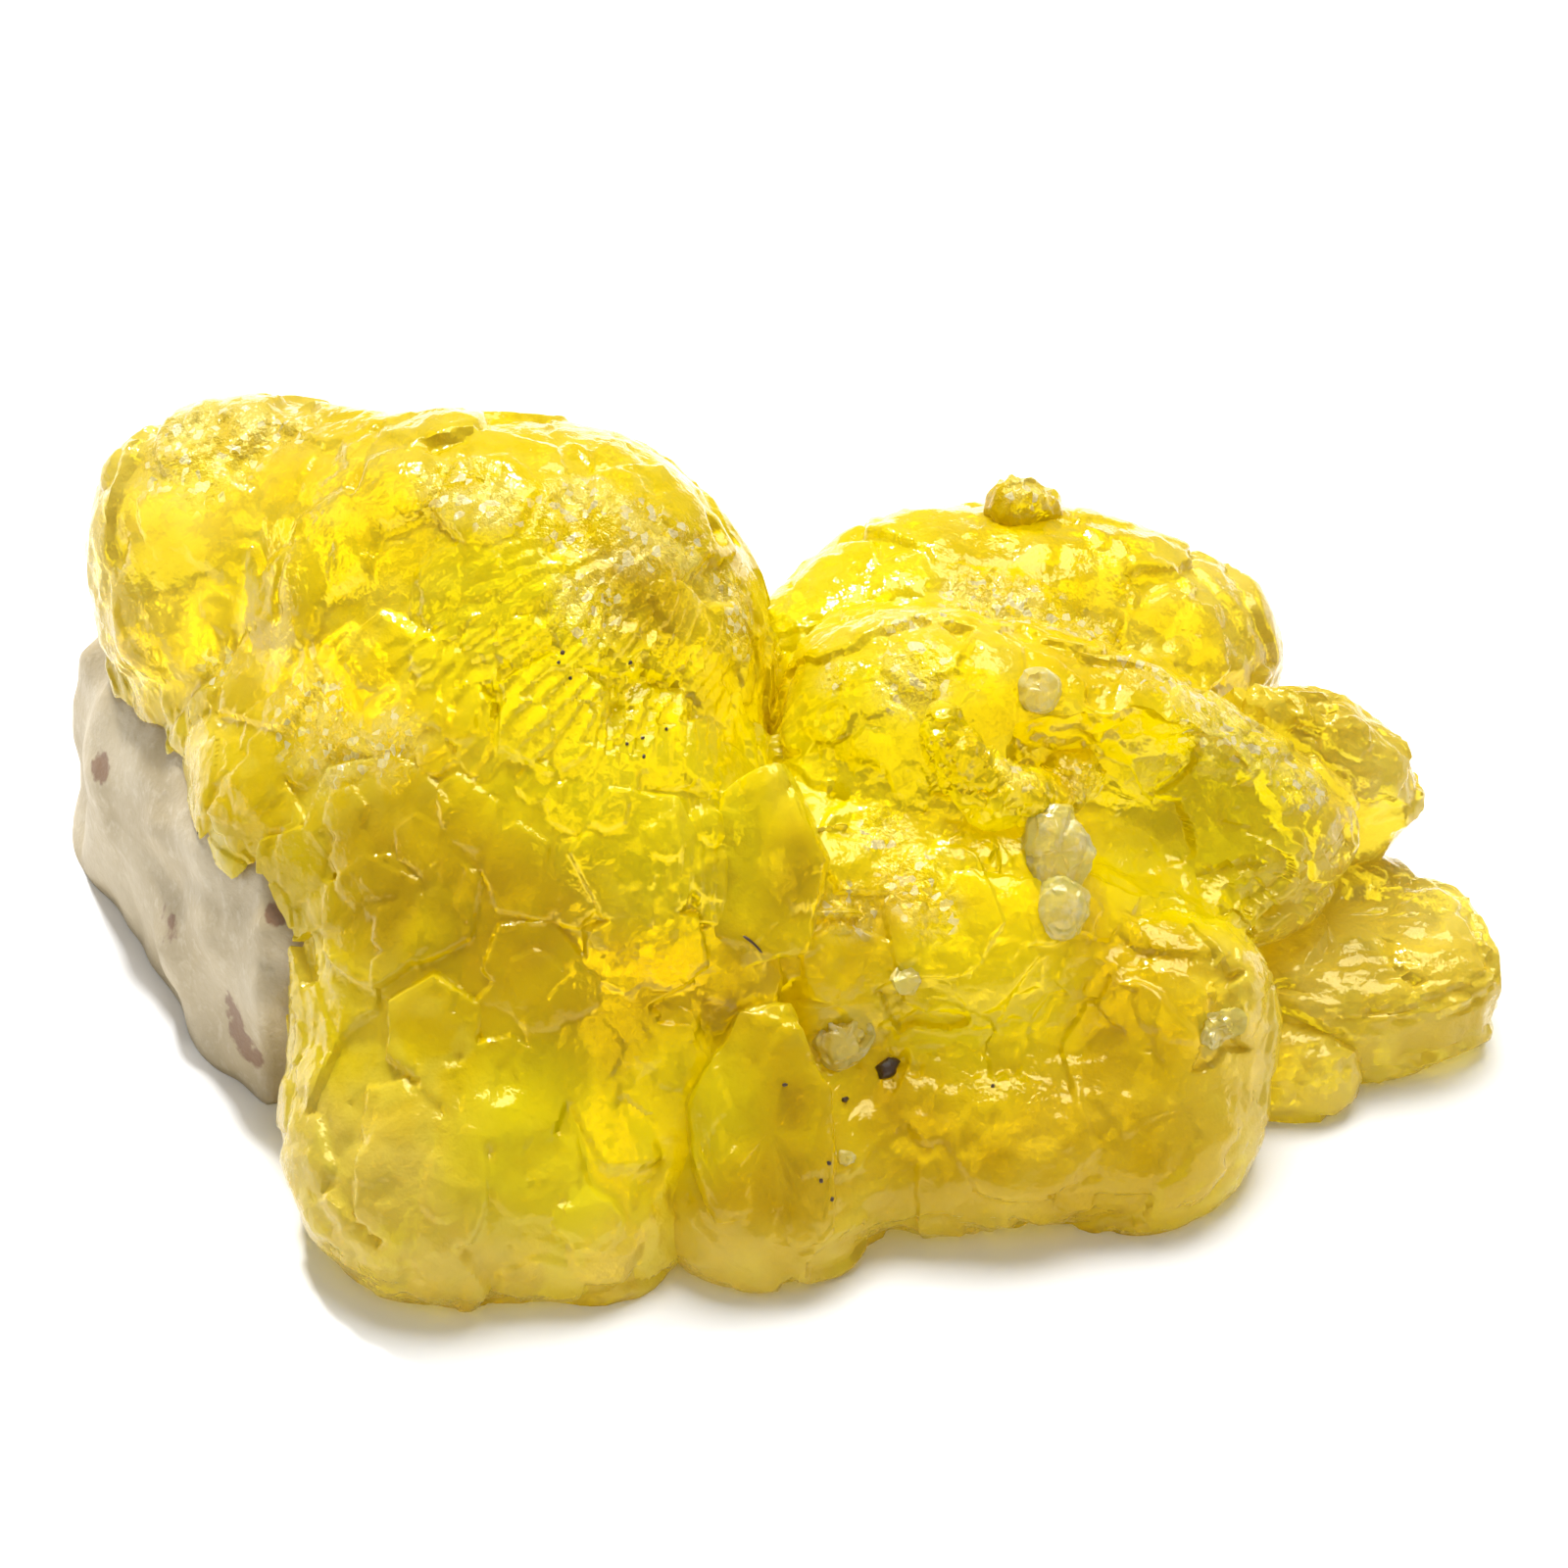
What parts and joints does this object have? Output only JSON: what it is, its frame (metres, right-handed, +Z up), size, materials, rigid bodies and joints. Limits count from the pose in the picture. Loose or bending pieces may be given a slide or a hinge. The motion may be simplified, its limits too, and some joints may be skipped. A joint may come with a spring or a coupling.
{
  "type": "brucite crystal specimen",
  "caption": "Yellow translucent mineral specimen: stepped fans of hexagonal crystal plates grown from one hub on a wedge of pale host rock, flat underneath to rest.",
  "frame": {"origin": "middle of the specimen's box, on its flat underside", "axes": "+Z up, +X to the right and -Y towards the viewer who faces the stepped front"},
  "size_m": [0.0406, 0.0266, 0.0188],
  "materials": {
    "brucite_yellow": "translucent saturated yellow crystal with a waxy to glassy lustre, stepped and finely ribbed",
    "host_rock_pale": "pale grey beige rock, slightly waxy, with small brown spots"
  },
  "bodies": {
    "root": {"brucite": "brucite_yellow", "host_rock": "host_rock_pale"}
  },
  "joints": []
}
